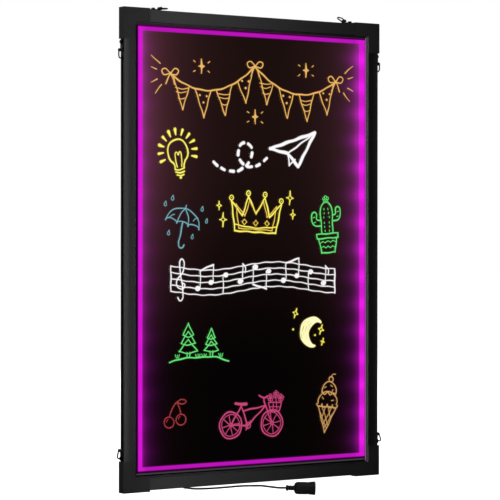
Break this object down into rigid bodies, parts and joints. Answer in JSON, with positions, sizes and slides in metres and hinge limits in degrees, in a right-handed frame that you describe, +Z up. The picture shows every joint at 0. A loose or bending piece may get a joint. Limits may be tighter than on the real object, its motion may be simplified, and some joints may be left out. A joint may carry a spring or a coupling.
{
  "type": "led writing board",
  "caption": "Upright edge-lit clear writing panel in a black rail frame with corner caps, sliding ring hangers for a wall, and a short low-voltage cord.",
  "frame": {"origin": "on the ground under the middle of the board, half way through its thickness", "axes": "+X to the right seen from the front, -Y out of the written face, +Z up"},
  "size_m": [0.4152, 0.1628, 0.6163],
  "materials": {
    "rail": "satin black coated aluminium",
    "cap": "matte black moulded plastic",
    "key_steel": "zinc plated",
    "black_steel": "blackened steel",
    "clear_panel": "clear polished acrylic",
    "seal": "matte black rubber",
    "light_band": "frosted, lit magenta",
    "backing": "dark board",
    "led_ribbon": "white ribbon with chips",
    "lead": "thin insulated wire",
    "cord": "soft black jacket",
    "connector": "black overmoulded plastic",
    "contact": "tinned"
  },
  "bodies": {
    "board": {"rail_top": "rail", "rail_bottom": "rail", "rail_left": "rail", "rail_right": "rail", "corner_cap_top_left": "cap", "corner_cap_top_right": "cap", "corner_cap_bottom_left": "cap", "corner_cap_bottom_right": "cap", "corner_key_top_left": "key_steel", "corner_key_top_right": "key_steel", "corner_key_bottom_left": "key_steel", "corner_key_bottom_right": "key_steel", "cap_screw_top_left_1": "black_steel", "cap_screw_top_left_2": "black_steel", "cap_screw_top_right_1": "black_steel", "cap_screw_top_right_2": "black_steel", "cap_screw_bottom_left_1": "black_steel", "cap_screw_bottom_left_2": "black_steel", "cap_screw_bottom_right_1": "black_steel", "cap_screw_bottom_right_2": "black_steel", "writing_panel": "clear_panel", "glazing_seal": "seal", "light_band": "light_band", "backing_panel": "backing", "led_strip_left": "led_ribbon", "led_strip_right": "led_ribbon", "feed_lead_left": "lead", "feed_lead_right": "lead", "cord_grommet": "seal", "pigtail_cord": "cord", "connector_boot": "connector", "connector_shell": "connector", "connector_insert": "seal", "connector_contact_1": "contact", "connector_contact_2": "contact"},
    "hanger_top_left": {"hanger_strap_top_left": "black_steel", "hanger_screw_top_left": "black_steel", "hanger_nut_top_left": "key_steel"},
    "hanger_top_right": {"hanger_strap_top_right": "black_steel", "hanger_screw_top_right": "black_steel", "hanger_nut_top_right": "key_steel"},
    "hanger_left_top": {"hanger_strap_left_top": "black_steel", "hanger_screw_left_top": "black_steel", "hanger_nut_left_top": "key_steel"},
    "hanger_left_bottom": {"hanger_strap_left_bottom": "black_steel", "hanger_screw_left_bottom": "black_steel", "hanger_nut_left_bottom": "key_steel"},
    "hanger_right_top": {"hanger_strap_right_top": "black_steel", "hanger_screw_right_top": "black_steel", "hanger_nut_right_top": "key_steel"},
    "hanger_right_bottom": {"hanger_strap_right_bottom": "black_steel", "hanger_screw_right_bottom": "black_steel", "hanger_nut_right_bottom": "key_steel"},
    "ring_top_left": {"hanger_ring_top_left": "black_steel"},
    "ring_top_right": {"hanger_ring_top_right": "black_steel"},
    "ring_left_top": {"hanger_ring_left_top": "black_steel"},
    "ring_left_bottom": {"hanger_ring_left_bottom": "black_steel"},
    "ring_right_top": {"hanger_ring_right_top": "black_steel"},
    "ring_right_bottom": {"hanger_ring_right_bottom": "black_steel"}
  },
  "joints": [
    {"name": "slide_top_left", "type": "slide", "parent": "board", "child": "hanger_top_left", "axis": [1, 0, 0], "range_m": [-0.004, 0.13]},
    {"name": "slide_top_right", "type": "slide", "parent": "board", "child": "hanger_top_right", "axis": [-1, 0, 0], "range_m": [-0.003, 0.13]},
    {"name": "slide_left_top", "type": "slide", "parent": "board", "child": "hanger_left_top", "axis": [0, 0, -1], "range_m": [-0.0005, 0.23]},
    {"name": "slide_left_bottom", "type": "slide", "parent": "board", "child": "hanger_left_bottom", "axis": [0, 0, 1], "range_m": [-0.0005, 0.23]},
    {"name": "slide_right_top", "type": "slide", "parent": "board", "child": "hanger_right_top", "axis": [0, 0, -1], "range_m": [-0.0005, 0.23]},
    {"name": "slide_right_bottom", "type": "slide", "parent": "board", "child": "hanger_right_bottom", "axis": [0, 0, 1], "range_m": [-0.0015, 0.23]},
    {"name": "swing_top_left", "type": "hinge", "parent": "hanger_top_left", "child": "ring_top_left", "pos_m": [-0.1455, 0, 0.6107], "axis": [0, -1, 0], "range_deg": [-8, 168]},
    {"name": "swing_top_right", "type": "hinge", "parent": "hanger_top_right", "child": "ring_top_right", "pos_m": [0.1465, 0, 0.6107], "axis": [0, 1, 0], "range_deg": [-33, 143]},
    {"name": "swing_left_top", "type": "hinge", "parent": "hanger_left_top", "child": "ring_left_top", "pos_m": [-0.2037, 0, 0.556], "axis": [0, 1, 0], "range_deg": [-6, 170]},
    {"name": "swing_left_bottom", "type": "hinge", "parent": "hanger_left_bottom", "child": "ring_left_bottom", "pos_m": [-0.2037, 0, 0.054], "axis": [0, -1, 0], "range_deg": [-172, 4]},
    {"name": "swing_right_top", "type": "hinge", "parent": "hanger_right_top", "child": "ring_right_top", "pos_m": [0.2037, 0, 0.556], "axis": [0, -1, 0], "range_deg": [-6, 170]},
    {"name": "swing_right_bottom", "type": "hinge", "parent": "hanger_right_bottom", "child": "ring_right_bottom", "pos_m": [0.2037, 0, 0.055], "axis": [0, 1, 0], "range_deg": [-166, 10]}
  ]
}
